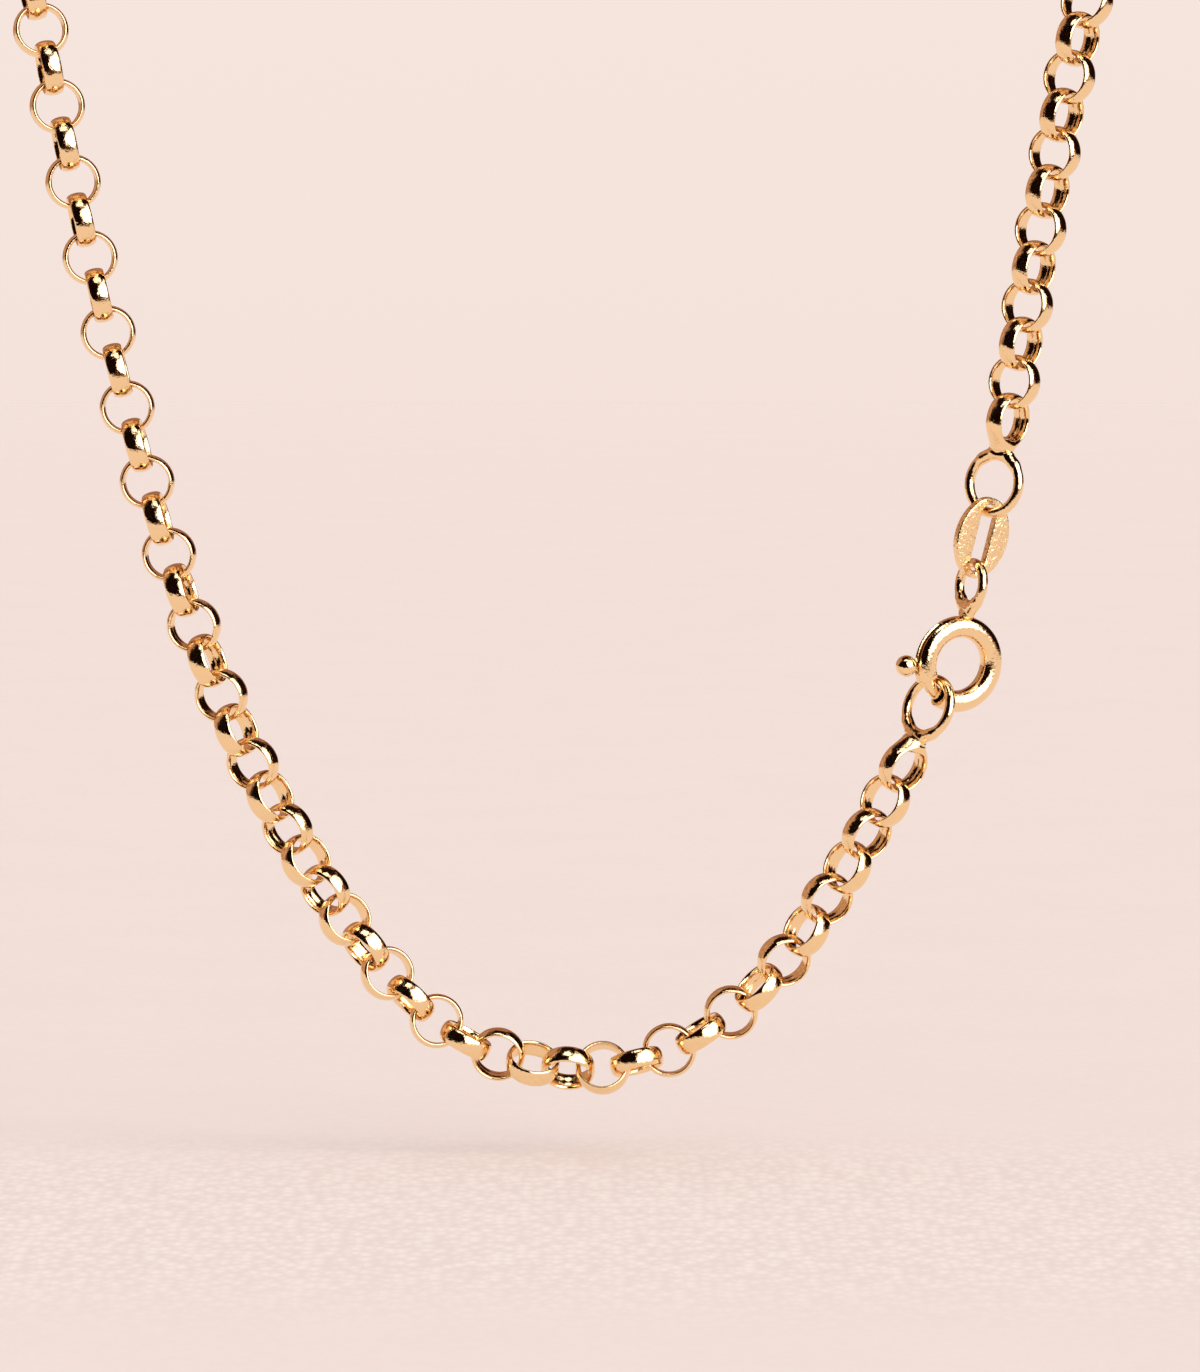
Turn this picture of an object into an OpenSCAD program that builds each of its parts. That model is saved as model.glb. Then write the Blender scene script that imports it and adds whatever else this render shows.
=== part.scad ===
// Rolo chain necklace with a bolt ring clasp, hung up and closed.
// Millimetres, Z up, X to the right as seen from the front, the origin at the nape.
// Round links of one size pass through each other at right angles. The link at each end
// is soldered to a jump ring. The upper jump ring hangs from a slotted tag link, the tag
// link from the bail of the bolt ring, and the lower jump ring hooks over the bolt.

/* [Chain link] */
// Outside diameter of a link
link_d = 4; // [3.9:0.05:4.1]
// Width of the band that a link is rolled from
link_w = 1.36; // [1.24:0.02:1.44]
// Thickness of the band at its crown
link_t = 0.4; // [0.36:0.02:0.44]
// Height of the domed outer face above its edges
link_dome = 0.14; // [0.08:0.02:0.2]
// Chamfer on the inner edges of the band
link_lip = 0.16; // [0.12:0.02:0.2]
// How far short of pulling tight two links sit along the strands
strand_play = 0.24; // [0.2:0.02:0.3]
// The same where the links close up round the lowest bend
bend_play = 0.52; // [0.44:0.02:0.56]

/* [Jump rings] */
// Outside diameter of a jump ring
jump_d = 5; // [4.9:0.05:5.1]
// Diameter of its wire
jump_wire = 0.74; // [0.66:0.02:0.78]
// Gap to the end link that the solder bridges
solder_gap = 0.2; // [0.1:0.05:0.3]
// Diameter of the solder neck
neck_d = 0.95; // [0.8:0.05:1.1]

/* [Tag link] */
// Length of the tag link
tag_l = 6; // [5.6:0.1:6.4]
// Width of the tag link
tag_w = 4.6; // [4.2:0.1:5]
// Thickness of the tag link
tag_t = 0.6; // [0.5:0.05:0.65]
// Radius of the outline at its two ends
tag_end_r = 1.75; // [1.6:0.05:1.9]
// Metal left between the slot and either end
tag_bar = 0.5; // [0.45:0.05:0.6]
// Room on each side of a jump ring's wire in the slot
tag_play = 0.31; // [0.28:0.01:0.4]

/* [Bolt ring] */
// Outside diameter of the bolt ring
bolt_d = 7; // [6.9:0.1:7.4]
// Diameter of its tube
tube_d = 1.5; // [1.4:0.05:1.6]
// Width of the mouth, along the middle of the tube
mouth_w = 1.7; // [1.65:0.05:1.9]
// Place of the middle of the mouth, in degrees from the right
mouth_at = 226.5; // [224:0.5:228]
// Diameter of the bolt
bolt_wire = 0.76; // [0.68:0.02:0.8]
// Room around the bolt in its bore
bolt_room = 0.14; // [0.1:0.01:0.18]
// How far the tip of the bolt reaches into its seat
tip_in = 0.15; // [0.1:0.05:0.25]
// Room beyond the tip in its seat
tip_room = 0.3; // [0.15:0.05:0.4]
// Length of the bolt, along the middle of the tube
bolt_l = 4; // [3.8:0.1:4.2]
// Length of the bore behind the bolt, where its spring lies
spring_l = 5; // [4:0.2:5.6]
// Diameter of the stem of the thumb ball
stem_d = 0.5; // [0.4:0.02:0.54]
// Room on each side of the stem in its slot
stem_room = 0.08; // [0.06:0.01:0.12]
// Place of the stem behind the tip of the bolt, along the middle of the tube
stem_back = 2.75; // [2.65:0.05:2.85]
// Travel of the bolt, along the middle of the tube
travel = 2.4; // [2:0.1:2.6]
// Room at each end of the slot beyond the stem
slot_room = 0.2; // [0.15:0.05:0.3]
// Diameter of the thumb ball
ball_d = 1.45; // [1.3:0.05:1.6]
// Gap between the thumb ball and the tube
ball_gap = 0.1; // [0.08:0.02:0.2]

/* [Bail] */
// Outside diameter of the bail
bail_d = 3.9; // [3.8:0.05:4.1]
// Diameter of its wire
bail_wire = 0.72; // [0.64:0.02:0.76]
// Gap to the tube that the solder bridges
bail_gap = 0.4; // [0.3:0.05:0.5]
// Diameter of the solder foot
foot_d = 0.95; // [0.8:0.05:1.1]

/* [Hang of the clasp] */
// Room at the end of a slot beyond the wire that hangs in it
seat = 0.22; // [0.2:0.01:0.3]
// Room between the lower jump ring and the bolt, across the ring
bolt_seat = 0.21; // [0.2:0.01:0.24]
// Lean of the bolt ring to the right
bolt_lean = 9; // [8.5:0.5:9.5]
// Turn of the bolt ring about its own upright line
bolt_turn = 28; // [27.5:0.5:28.5]
// Lean of the tag link
tag_lean = 14; // [13:0.5:15]
// Turn of the tag link
tag_turn = 35; // [34:0.5:36]
// Lean of the upper jump ring
upper_lean = 12; // [11:0.5:13]
// Turn of the upper jump ring
upper_turn = -38; // [-39:0.5:-37]
// Lean of the lower jump ring
lower_lean = 23; // [22.5:0.5:23.5]
// Turn of the lower jump ring
lower_turn = -50; // [-51:0.5:-49]

/* [Hidden] */
$fn = 48;
gold = [0.93, 0.73, 0.45];

// The nape, where the necklace hangs, seen from the middle of the front
nape = [1, 91, 95.5];
// Middle of the bolt ring
bolt_at = [26.05, 0, 1.6];
// Chosen points of the route: x, y, z, the roll of the links about it, and how far they
// have closed up there, from 0 where they hang freely to 1 where they lie loosest.
// They run from the clasp down through the low bend, up the left, round the nape and
// down the right to the clasp again. The clasp gives the first and the last point.
route = [
    [19.4, -0.6, -10.8, -42, 0], [16.5, -0.4, -15.6, -34, 0.1], [13.4, -0.2, -20.1, -25, 0.2],
    [9.6, 0, -23.9, -8, 0.2], [5.1, 0, -26.7, 4, 0.8], [0.3, 0, -28, 28, 1],
    [-4.8, 0, -27.7, 58, 0.6], [-9.6, 0, -26.1, 88, 0.8], [-13.4, 0, -23.3, 108, 1],
    [-16.8, 0, -19.5, 118, 1], [-20, 0, -15, 134, 0.8], [-22.8, 0, -10.4, 142, 0.4],
    [-27, 0, -2, 155, 0.2], [-31.1, 0, 9, 168, 0.2], [-34.2, 0, 20, 174, 0],
    [-37.4, 0, 33.4, 182, 0], [-40.4, 0, 47.8, 186, 0], [-44, 4, 61, 184, 0],
    [-47.5, 15, 73, 181, 0], [-49.5, 32, 82, 178, 0], [-48, 51, 87.5, 174, 0],
    [-41.5, 68, 91, 170, 0], [-30, 81, 93.5, 166, 0], [-15, 88.5, 95, 162, 0],
    [1, 91, 95.5, 158, 0], [17, 88.5, 95, 154, 0], [31, 81, 93.5, 150, 0],
    [41, 68, 91, 146, 0], [46, 51, 87.5, 142, 0], [46.5, 32, 82, 138, 0],
    [43.5, 15, 73, 134, 0], [39.2, 4, 61.5, 131, 0], [35, 0.1, 49.1, 129, 0],
    [32.3, 0.1, 35.6, 128, 0]
];
first_roll = -46;
last_roll = 128;
// Depth over which the route turns from hanging in front to lying on the shoulders
turn_depth = 40;
fine = 24;
// Where the lower jump ring's plane crosses the bolt, past the middle of the mouth
cross_at = 10;
cross_side = 0.08;
// Degrees by which the bores run out past the faces of the mouth
past = 1;
// Flats that make up the dome of a link
dome_flats = 4;

// Sizes that follow from those above
inner_r = link_d / 2 - link_t;
flat_half = link_w / 2 - link_lip;
dome_r = (pow(link_w / 2, 2) + pow(link_dome, 2)) / (2 * link_dome);
tight = 2 * sqrt(pow(inner_r, 2) - pow(flat_half, 2));
jump_r = (jump_d - jump_wire) / 2;
end_reach = jump_d / 2 + solder_gap + link_d / 2;
slot_l = tag_l - 2 * tag_bar;
slot_w = jump_wire + 2 * tag_play;
tube_r = (bolt_d - tube_d) / 2;
bail_r = (bail_d - bail_wire) / 2;
bail_up = bolt_d / 2 + bail_gap + bail_d / 2;
bore_d = bolt_wire + 2 * bolt_room;
mouth_a0 = mouth_at - around(mouth_w / 2);
mouth_a1 = mouth_at + around(mouth_w / 2);
tip_at = mouth_a1 + around(tip_in);
tail_at = tip_at - around(bolt_l);
stem_at = tip_at - around(stem_back);
bore_at = tail_at - around(spring_l);
stem_half = around(stem_d / 2 + stem_room + slot_room);
slot_a0 = stem_at - around(travel) - stem_half;
slot_a1 = stem_at + stem_half;
ball_at = bolt_d / 2 + ball_gap + ball_d / 2;

// Degrees around the tube that a length along its middle takes up
function around(len) = len / tube_r * 180 / PI;

// A pose: x, y, z of the middle, then the lean and the turn. A piece is drawn with Y up
// its own length and Z out of its face.
function stand(lean, turn, p) =
    let (x1 = p.x * cos(turn) + p.z * sin(turn))
    let (z1 = p.z * cos(turn) - p.x * sin(turn))
    let (x2 = x1 * cos(lean) + p.y * sin(lean))
    let (y2 = p.y * cos(lean) - x1 * sin(lean))
    [x2, -z1, y2];

// Places of the clasp's pieces, each from the one that carries it
bail_top = bolt_at + stand(bolt_lean, bolt_turn, [0, bail_up + bail_r, 0]);
tag_at = bail_top + stand(tag_lean, tag_turn, [0, slot_l / 2 - bail_wire / 2 - seat, 0]);
tag_top = tag_at + stand(tag_lean, tag_turn, [0, slot_l / 2 - jump_wire / 2 - seat, 0]);
upper_at = tag_top + stand(upper_lean, upper_turn, [0, jump_r, 0]);
cross_a = mouth_at + cross_at;
bolt_low = bolt_at + stand(bolt_lean, bolt_turn, [tube_r * cos(cross_a), tube_r * sin(cross_a), 0]);
lower_hang = jump_r - jump_wire / 2 - bolt_wire / 2 - bolt_seat;
lower_at = bolt_low - stand(lower_lean, lower_turn, [cross_side, lower_hang, 0]);
first_at = lower_at - stand(lower_lean, lower_turn, [0, end_reach, 0]);
last_at = upper_at + stand(upper_lean, upper_turn, [0, end_reach, 0]);

// The whole route, a smooth curve through its points, and the count of links along it
stops = concat([[first_at.x, first_at.y, first_at.z, first_roll, 0]], route,
    [[last_at.x, last_at.y, last_at.z, last_roll, 0]]);
ends = len(stops) - 1;
reach = concat([2 * stops[0] - stops[1]], stops, [2 * stops[ends] - stops[ends - 1]]);
function smooth(a, b, c, d, u) =
    0.5 * (2 * b + (c - a) * u + (2 * a - 5 * b + 4 * c - d) * u * u
    + (3 * b - a - 3 * c + d) * u * u * u);
curve = concat(
    [for (i = [0 : ends - 1], j = [0 : fine - 1])
        smooth(reach[i], reach[i + 1], reach[i + 2], reach[i + 3], j / fine)],
    [stops[ends]]);
function place(p) = [p.x, p.y, p.z];
function pitch(p) = tight - strand_play - (bend_play - strand_play) * max(0, p[4]);
function step(i) =
    norm(place(curve[i + 1]) - place(curve[i])) / pitch((curve[i] + curve[i + 1]) / 2);
last = len(curve) - 1;
counts = [for (i = 0, s = 0; i <= last; s = i < last ? s + step(i) : s, i = i + 1) s];
links = 2 * round(counts[last] / 2);
share = counts[last] / links;
tables = [for (c = [0 : 3]) [for (i = [0 : last]) [counts[i], curve[i][c]]]];
function along(k) = [for (c = [0 : 3]) lookup(min(links, max(0, k)) * share, tables[c])];

// The frame of link k: along the route, across it, and the link's own axis
function unit(v) = v / norm(v);
function back_share(y) = min(1, max(0, y / turn_depth));
function frame(k) =
    let (p = along(k))
    let (t = unit(place(along(k + 0.5)) - place(along(k - 0.5))))
    let (lie = [0, 1 - back_share(p.y), -back_share(p.y)])
    let (n = unit(lie - (lie * t) * t))
    let (m = cross(t, n))
    let (roll = p[3] + 90 * (k % 2))
    let (a = cos(roll) * n + sin(roll) * m)
    let (b = cross(a, t))
    [[t.x, b.x, a.x, p.x], [t.y, b.y, a.y, p.y], [t.z, b.z, a.z, p.z], [0, 0, 0, 1]];

// Moves a drawn piece to its place on the necklace as it hangs from the nape
module hung(at, lean, turn) {
    translate(at - nape)
    rotate([90, 0, 0])
    rotate([0, 0, -lean])
    rotate([0, turn, 0])
    children();
}

module at_link(k) {
    translate(-nape)
    multmatrix(frame(k))
    children();
}

// One round link: a band with a domed outside and chamfered inner edges. The dome is
// rolled in a few narrow flats, within a hundredth of a millimetre of its arc.
module link() {
    dome = [for (i = [0 : dome_flats])
        let (z = link_w * (i / dome_flats - 1 / 2))
        [link_d / 2 - dome_r + sqrt(pow(dome_r, 2) - pow(z, 2)), z]];
    rotate_extrude()
    polygon(concat(
        [[inner_r, -flat_half], [inner_r + link_lip, -link_w / 2]],
        dome,
        [[inner_r + link_lip, link_w / 2], [inner_r, flat_half]]
    ));
}

module wire_ring(outer_d, wire_d) {
    rotate_extrude()
    translate([(outer_d - wire_d) / 2, 0])
    circle(d = wire_d, $fn = 32);
}

// A piece of round bar bent along the middle of the bolt ring's tube
module bent_bar(d, a0, a1) {
    rotate([0, 0, a0])
    rotate_extrude(angle = a1 - a0, $fn = 96)
    translate([tube_r, 0])
    circle(d = d, $fn = 32);
}

// Jump ring, solder neck and the neighbouring end link, soldered into one piece.
// The neck runs from the middle of the ring's wire to the middle of the link's band.
module end_ring(side) {
    wire_ring(jump_d, jump_wire);
    translate([0, side * jump_r, 0])
    rotate([-side * 90, 0, 0])
    cylinder(d = neck_d, h = end_reach - jump_r - link_d / 2 + link_t / 2);
}

module chain_run(k0, k1) {
    for (k = [k0 : k1])
        at_link(k)
        link();
}

module chain_front() {
    color(gold)
    chain_run(1, links / 2 - 1);
}

module chain_back() {
    color(gold)
    chain_run(links / 2, links - 1);
}

module lower_end_ring() {
    color(gold) {
        hung(lower_at, lower_lean, lower_turn)
        end_ring(-1);
        at_link(0)
        link();
    }
}

module upper_end_ring() {
    color(gold) {
        hung(upper_at, upper_lean, upper_turn)
        end_ring(1);
        at_link(links)
        link();
    }
}

// An oval of two end arcs and two side arcs that run smoothly into them
module oval(l, w, end_r) {
    end_y = l / 2 - end_r;
    side_r = (pow(w / 2, 2) + pow(end_y, 2) - pow(end_r, 2)) / (w - 2 * end_r);
    side_x = side_r - w / 2;
    meet = end_y * side_r / (side_r - end_r);
    for (s = [-1, 1])
        translate([0, s * end_y])
        circle(r = end_r);
    intersection() {
        translate([side_x, 0])
        circle(r = side_r, $fn = 96);
        translate([-side_x, 0])
        circle(r = side_r, $fn = 96);
        square([w, 2 * meet], center = true);
    }
}

module tag_link() {
    color(gold)
    hung(tag_at, tag_lean, tag_turn)
    difference() {
        linear_extrude(tag_t, center = true)
        oval(tag_l, tag_w, tag_end_r);
        for (s = [-1, 1])
            translate([0, s * (slot_l - slot_w) / 2, 0])
            cylinder(d = slot_w, h = 2 * tag_t, center = true);
        cube([slot_w, slot_l - slot_w, 2 * tag_t], center = true);
    }
}

// The slot that the stem of the thumb ball slides along, on the outside of the tube
module stem_slot() {
    width = stem_d + 2 * stem_room;
    rotate([0, 0, slot_a0])
    rotate_extrude(angle = slot_a1 - slot_a0, $fn = 96)
    translate([tube_r, -width / 2])
    square([tube_d, width]);
}

module bolt_ring() {
    color(gold)
    hung(bolt_at, bolt_lean, bolt_turn) {
        difference() {
            bent_bar(tube_d, mouth_a1, mouth_a0 + 360);
            bent_bar(bore_d, bore_at, mouth_a0 + past);
            bent_bar(bore_d, mouth_a1 - past, tip_at + around(tip_room));
            stem_slot();
        }
        translate([0, bolt_d / 2 - tube_d / 4, 0])
        rotate([-90, 0, 0])
        cylinder(d = foot_d, h = tube_d / 4 + bail_gap + bail_wire / 2);
        translate([0, bail_up, 0])
        rotate([0, 90, 0])
        wire_ring(bail_d, bail_wire);
    }
}

// The spring bolt that closes the mouth, with its stem and thumb ball
module bolt() {
    color(gold)
    hung(bolt_at, bolt_lean, bolt_turn) {
        bent_bar(bolt_wire, tail_at, tip_at);
        rotate([0, 0, stem_at])
        translate([tube_r, 0, 0])
        rotate([0, 90, 0])
        cylinder(d = stem_d, h = ball_at - tube_r, $fn = 32);
        rotate([0, 0, stem_at])
        translate([ball_at, 0, 0])
        sphere(d = ball_d);
    }
}

chain_front();
chain_back();
lower_end_ring();
upper_end_ring();
tag_link();
bolt_ring();
bolt();
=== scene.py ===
"""Looks of a gold rolo chain necklace with a bolt ring clasp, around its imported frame."""
import math

import bmesh
import bpy
import numpy as np
from mathutils import Matrix, Vector, noise


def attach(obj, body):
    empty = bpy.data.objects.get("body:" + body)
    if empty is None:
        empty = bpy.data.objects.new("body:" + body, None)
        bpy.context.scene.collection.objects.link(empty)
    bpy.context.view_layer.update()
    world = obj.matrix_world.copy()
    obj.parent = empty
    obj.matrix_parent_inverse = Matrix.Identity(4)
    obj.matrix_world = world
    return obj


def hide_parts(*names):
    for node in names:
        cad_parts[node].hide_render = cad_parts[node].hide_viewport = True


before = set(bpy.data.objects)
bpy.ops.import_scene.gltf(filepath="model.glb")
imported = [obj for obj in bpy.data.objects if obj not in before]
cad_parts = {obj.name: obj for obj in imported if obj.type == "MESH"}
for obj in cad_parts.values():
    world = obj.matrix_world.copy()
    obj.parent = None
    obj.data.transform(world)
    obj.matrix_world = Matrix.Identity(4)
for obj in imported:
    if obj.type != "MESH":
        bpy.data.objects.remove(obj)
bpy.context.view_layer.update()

# The view
# The necklace hangs in front of a long lens, a few centimetres above a covered table.
# Sizes below are in millimetres, measured from the middle of the picture; the origin of
# the frame is the nape, where the necklace hangs.
MM = 0.001
NAPE = Vector((1, 91, 95.5))
PICTURE_H = 1372
PIXELS_PER_MM = 13.75
LENS_REACH = 500
LOOK_DOWN = 5
SENSOR = 36
NEAREST_SEEN = 0.01
FURTHEST_SEEN = 50


def placed(point):
    """A point measured from the middle of the picture, in the frame's own metres."""
    return (Vector(point) - NAPE) * MM


lens = bpy.data.cameras.new("lens")
lens.sensor_width = SENSOR
lens.lens = SENSOR * LENS_REACH * PIXELS_PER_MM / PICTURE_H
lens.clip_start = NEAREST_SEEN
lens.clip_end = FURTHEST_SEEN
camera = bpy.data.objects.new("camera", lens)
bpy.context.scene.collection.objects.link(camera)
look = math.radians(LOOK_DOWN)
camera.location = placed((0, -LENS_REACH * math.cos(look), LENS_REACH * math.sin(look)))
camera.rotation_euler = (math.radians(90) - look, 0, 0)
bpy.context.scene.camera = camera
bpy.context.scene.view_settings.view_transform = "Standard"

# Chain links
# A rolo chain is round links of one size. Each is a strip of gold with a domed face,
# rolled into a ring with the dome outside, its seam soldered and polished away. The inner
# face keeps a shallow groove from the rolling, and the edges are rounded by tumbling.
LINK_D = 4.0
LINK_W = 1.36
LINK_T = 0.45
EDGE_AT = 1.74
EDGE_TURNS = (0, 14, 30, 46, 62, 76, 88)
GROOVE_DEPTH = 0.06
GROOVE_LIP = 0.4
GROOVE_HALF_W = 0.12
LINK_STEPS = 40
SAME_SPOT = 0.001
CAD_SAME_SPOT = 0.002
# A link hangs up to LOOSE degrees askew, changing with its place. The left strand is wound
# WIND degrees round its own line, which comes and goes over WIND_OVER mm of its height.
LOOSE = 2.0
LOOSE_CHANGE = 700
LOOSE_SEED = 7
WIND = 6
WIND_FROM = 0
WIND_OVER = 12
WIND_END = 70
# The gold's colour, the size in mm of each mark on it, and where it is worn dull.
GOLD = "#FFDFAC"
DENT = 0.3
GRAIN = 0.11
HAIR = 0.05
HAIR_STRETCH = (1, 0.1, 0.3)
HAIR_LAY = (0.5, 0.9, 0.4)
WEAR = 0.9
WEAR_LOW = 0.35
WEAR_HIGH = 0.7
BRIGHT_SHARE = 0.6
DULL_SHARE = 1.5


def srgb(code):
    """A hex colour as the linear values that the shaders take."""
    parts = [int(code[i:i + 2], 16) / 255 for i in (1, 3, 5)]
    return [c / 12.92 if c < 0.04045 else ((c + 0.055) / 1.055) ** 2.4 for c in parts] + [1]


def node(tree, kind, links=(), **settings):
    """Adds one node; links is pairs of its input and the socket that feeds it."""
    made = tree.nodes.new("ShaderNode" + kind)
    for key, value in settings.items():
        if key.startswith("in_"):
            name = key[3:]
            slot = made.inputs[int(name) if name.isdigit() else name.replace("_", " ")]
            slot.default_value = value
        else:
            setattr(made, key, value)
    for name, socket in links:
        tree.links.new(socket, made.inputs[name])
    return made


def gold(name, rough, dent_depth, grain_depth, scratch_depth):
    """9 ct yellow gold, tumbled and polished: a warm metal whose reflections deepen to
    orange where it meets itself. Tumbling and wear leave soft dents, a fine grain and
    hairline scratches that break the edges of its reflections. Real ones are a few
    hundredths of a millimetre, so they are drawn coarser here, to show at all."""
    made = bpy.data.materials.new(name)
    made.use_nodes = True
    tree = made.node_tree
    shader = tree.nodes["Principled BSDF"]
    shader.inputs["Base Color"].default_value = srgb(GOLD)
    shader.inputs["Metallic"].default_value = 1
    spot = node(tree, "TexCoord").outputs["Object"]
    dents = node(tree, "TexNoise", [("Vector", spot)], in_Scale=1 / (DENT * MM), in_Detail=1)
    grain = node(tree, "TexNoise", [("Vector", spot)], in_Scale=1 / (GRAIN * MM), in_Detail=2)
    drawn = node(tree, "Mapping", [("Vector", spot)], in_Scale=HAIR_STRETCH,
                 in_Rotation=HAIR_LAY)
    hairs = node(tree, "TexNoise", [("Vector", drawn.outputs[0])], in_Scale=1 / (HAIR * MM),
                 in_Detail=1)
    worn = node(tree, "TexNoise", [("Vector", spot)], in_Scale=1 / (WEAR * MM), in_Detail=2)
    haze = node(tree, "MapRange", [("Value", worn.outputs[0])], in_1=WEAR_LOW,
                in_2=WEAR_HIGH, in_3=rough * BRIGHT_SHARE, in_4=rough * DULL_SHARE)
    normal = None
    for texture, depth in ((hairs, scratch_depth), (grain, grain_depth), (dents, dent_depth)):
        bump = node(tree, "Bump", [("Height", texture.outputs[0])], in_Strength=1,
                    in_Distance=depth * MM)
        if normal:
            tree.links.new(normal, bump.inputs["Normal"])
        normal = bump.outputs[0]
    tree.links.new(haze.outputs[0], shader.inputs["Roughness"])
    tree.links.new(normal, shader.inputs["Normal"])
    return made


polished_gold = gold("polished yellow gold", rough=0.05, dent_depth=0.02, grain_depth=0.01,
                     scratch_depth=0.001)


def band_outline():
    """Half the section of a link's band, from its crown over its edge in to the groove."""
    half = LINK_W / 2
    inner = LINK_D / 2 - LINK_T
    turns = [math.radians(a) for a in EDGE_TURNS]
    face = [(EDGE_AT + (LINK_D / 2 - EDGE_AT) * math.cos(a), half * math.sin(a)) for a in turns]
    back = [(EDGE_AT - (EDGE_AT - inner) * math.cos(a), half * math.sin(a))
            for a in reversed(turns[2:-1])]
    lip = (inner + GROOVE_DEPTH * GROOVE_LIP, GROOVE_HALF_W)
    return face + back + [lip, (inner + GROOVE_DEPTH, 0)]


def whole_outline(half):
    """The outline on both sides of its middle line, as one closed loop."""
    back = [(r, -z) for r, z in reversed(half[1:-1])]
    return half + back


def spun(outline, steps):
    """A bmesh of a closed outline spun about Z, in millimetres."""
    bm = bmesh.new()
    verts = [bm.verts.new((r, 0, z)) for r, z in outline]
    edges = [bm.edges.new((verts[i - 1], verts[i])) for i in range(len(verts))]
    bmesh.ops.spin(bm, geom=verts + edges, cent=(0, 0, 0), axis=(0, 0, 1),
                   angle=2 * math.pi, steps=steps, use_merge=True)
    bmesh.ops.remove_doubles(bm, verts=bm.verts, dist=SAME_SPOT)
    bmesh.ops.recalc_face_normals(bm, faces=bm.faces)
    return bm


def mesh_of(bm, name):
    """The mesh of a bmesh, which it frees."""
    made = bpy.data.meshes.new(name)
    bm.to_mesh(made)
    bm.free()
    return made


def finished(mesh, name, body, nodes, material):
    """Smooths a mesh, gives it its gold and puts it on its body in place of CAD nodes."""
    mesh.materials.clear()
    mesh.materials.append(material)
    mesh.polygons.foreach_set("use_smooth", [True] * len(mesh.polygons))
    piece = bpy.data.objects.new(name, mesh)
    bpy.context.scene.collection.objects.link(piece)
    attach(piece, body)
    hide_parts(*nodes)
    return piece


def rings_in(name):
    """The centre and the axis of each loose ring of a CAD node, from its own surface, in
    the same order and with the same sign in every run."""
    bm = bmesh.new()
    bm.from_mesh(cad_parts[name].data)
    bmesh.ops.remove_doubles(bm, verts=bm.verts, dist=CAD_SAME_SPOT * MM)
    left = dict.fromkeys(bm.faces)
    rings = []
    while left:
        ring = [left.popitem()[0]]
        for face in ring:
            for edge in face.edges:
                for other in edge.link_faces:
                    if other in left:
                        del left[other]
                        ring.append(other)
        spots = np.array([f.calc_center_median() for f in ring])
        areas = np.array([f.calc_area() for f in ring])
        centre = (spots * areas[:, None]).sum(0) / areas.sum()
        spread = ((spots - centre) * areas[:, None]).T @ (spots - centre)
        axis = np.linalg.eigh(spread)[1][:, 0]
        axis *= np.sign(axis[np.abs(axis).argmax()])
        rings.append((Vector(centre), Vector(axis)))
    bm.free()
    return rings


link_mesh = mesh_of(spun(whole_outline(band_outline()), LINK_STEPS), "link")


def wound(spot, run):
    """How far the left strand has wound itself round its own line, run, at a spot."""
    at = spot / MM + NAPE
    share = min(1, max(0, (at.z - WIND_FROM) / WIND_OVER)) if at.x < 0 else 0
    share *= min(1, max(0, (WIND_END - at.z) / WIND_OVER))
    return Matrix.Rotation(math.radians(WIND * share), 3, run)


def chain(name):
    """Fine links in the places of a chain node's links, each hanging a little askew."""
    bm = bmesh.new()
    rings = rings_in(name)
    for centre, axis in rings:
        first = len(bm.verts)
        bm.from_mesh(link_mesh)
        bm.verts.ensure_lookup_table()
        beside = sorted(rings, key=lambda ring: (ring[0] - centre).length)[1:3]
        run = beside[0][0] - beside[1][0]
        run *= math.copysign(1, run.z)
        axis = wound(centre, run) @ axis
        askew = noise.noise_vector(centre * LOOSE_CHANGE) * math.radians(LOOSE)
        turned = Vector((0, 0, 1)).rotation_difference(axis + axis.cross(askew))
        place = Matrix.Translation(centre) @ turned.to_matrix().to_4x4() @ Matrix.Scale(MM, 4)
        bmesh.ops.transform(bm, matrix=place, verts=bm.verts[first:])
    return finished(mesh_of(bm, name), name + "_links", "necklace", [name], polished_gold)


noise.seed_set(LOOSE_SEED)
chain("chain_front")
chain("chain_back")

# End rings
# At each end of the chain a ring of round wire is soldered to the last link. The solder
# has run into both, so ring, neck and link are one piece of gold with a soft waist.
JUMP_D = 5.0
JUMP_WIRE = 0.74
SOLDER_GAP = 0.2
NECK_D = 1.45
FLARE = 0.9
LEG_AT = 40
LEG_TIP = 0.42
LEG_D = 0.66
RING_STEPS = 64
WIRE_SIDES = 16
# Reach of the soldered link's own points round its centre, and back towards the ring.
LINK_REACH = 0.54
LINK_BACK = 1.2
# The skin over joined shapes: its grid, and how it settles, all in mm.
SKIN_STEP = 0.075
SETTLE_STEPS = 6
SETTLE_MOST = 0.05
SLOPE_STEP = 1e-4
SLOPE_LEAST = 0.2
# Sizes and places of what hangs on the rings, which set where the rings lie.
BOLT_D = 7.0
TUBE_D = 1.5
BOLT_WIRE = 0.76
BAIL_D = 3.9
BAIL_WIRE = 0.72
BAIL_GAP = 0.4
TAG_L = 6.0
TAG_BAR = 0.5
SEAT = 0.22
BOLT_SEAT = 0.21
CROSS_AT = 236.5
CROSS_SIDE = 0.08
BOLT_AT = Vector((26.05, 0, 1.6))
BOLT_HANG = (9, 28)
TAG_HANG = (14, 35)
UPPER_HANG = (12, -38)
LOWER_HANG = (23, -50)


def hang(lean, turn):
    """Turns a piece drawn with Y up its length and Z out of its face as it hangs."""
    return (Matrix.Rotation(math.radians(90), 4, "X")
            @ Matrix.Rotation(math.radians(-lean), 4, "Z")
            @ Matrix.Rotation(math.radians(turn), 4, "Y"))


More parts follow.
